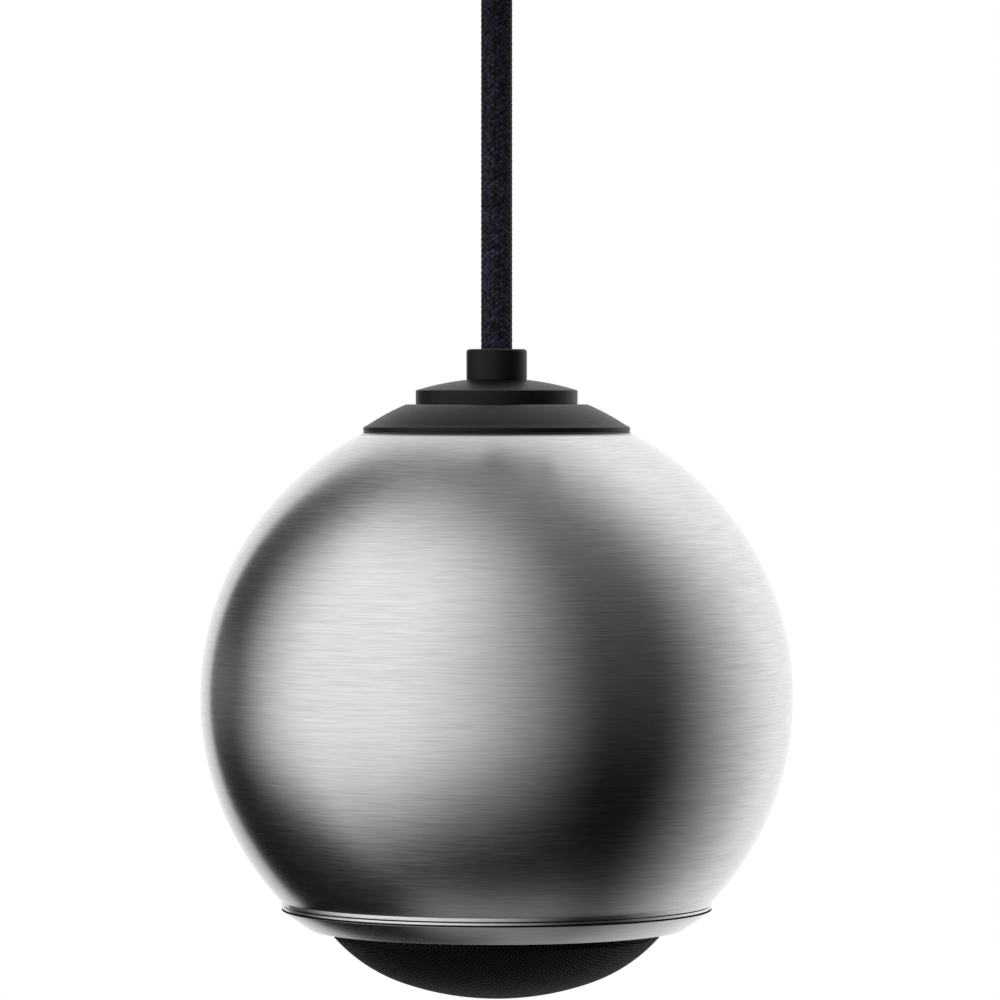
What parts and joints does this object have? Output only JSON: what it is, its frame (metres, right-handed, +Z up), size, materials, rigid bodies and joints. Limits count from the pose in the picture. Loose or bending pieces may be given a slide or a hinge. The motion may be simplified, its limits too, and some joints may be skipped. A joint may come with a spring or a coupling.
{
  "type": "pendant speaker",
  "caption": "Ball pendant speaker: brushed steel ball with a black stepped top, a domed perforated grille below, and a straight braided cord up to a ceiling rose.",
  "frame": {"origin": "centre of the ceiling face: the plane that the rose's rim and the bracket bear on, on the cord's axis", "axes": "+Z up into the ceiling, along the cord; +X along the bracket; the front faces -Y"},
  "size_m": [0.1016, 0.1016, 0.2105],
  "materials": {
    "ball_steel": "brushed round the ball",
    "black_paint": "fine matte powder coat",
    "grille_black": "matte black",
    "black_rubber": "matte",
    "cord_braid": "navy-black braid",
    "core_red": "smooth",
    "core_black": "smooth",
    "zinc_steel": "satin zinc plate",
    "screw_steel": "black oxide",
    "nylon": "natural nylon",
    "frame_steel": "black coated pressed steel",
    "cone_paper": "black pulp",
    "coil_former": "thin foil",
    "coil_copper": "enamelled copper wire",
    "spider_cloth": "resin-dipped cloth",
    "ferrite": "sintered",
    "board_brown": "phenolic sheet",
    "tinned_brass": "tinned"
  },
  "bodies": {
    "housing": {"ceiling_bracket": "zinc_steel", "ceiling_rose": "black_paint", "rose_side_screws": "screw_steel", "connector_block": "nylon", "block_screws": "zinc_steel", "cord_grip": "black_paint", "grip_locknut": "zinc_steel", "grip_screw": "screw_steel", "rose_lead_positive": "core_red", "rose_lead_negative": "core_black", "cord": "cord_braid", "cord_collar": "black_paint", "collar_grub_screw": "screw_steel", "upper_cap": "black_paint", "top_flange": "black_paint", "stem": "zinc_steel", "saddle_washer": "zinc_steel", "stem_nut": "zinc_steel", "clamp_jaw_front": "nylon", "clamp_jaw_back": "nylon", "clamp_screws": "zinc_steel", "lead_positive": "core_red", "lead_negative": "core_black", "ball_shell": "ball_steel", "mounting_ring": "zinc_steel", "seam_gasket": "black_rubber", "bezel_ring": "ball_steel", "grille": "grille_black", "frame_gasket": "black_rubber", "retaining_ring": "screw_steel", "driver_frame": "frame_steel", "surround": "black_rubber", "spider": "spider_cloth", "top_plate": "zinc_steel", "magnet": "ferrite", "pole_yoke": "zinc_steel", "terminal_board": "board_brown", "terminal_tags": "tinned_brass", "tinsel_leads": "tinned_brass"},
    "cone_assembly": {"cone": "cone_paper", "dust_cap": "cone_paper", "coil_former": "coil_former", "voice_coil": "coil_copper"}
  },
  "joints": [
    {"name": "cone_travel", "type": "slide", "parent": "housing", "child": "cone_assembly", "axis": [0, 0, -1], "range_m": [-0.002, 0.002], "stiffness_N_per_m": 1100, "deforming": ["surround", "spider", "tinsel_leads"]}
  ]
}
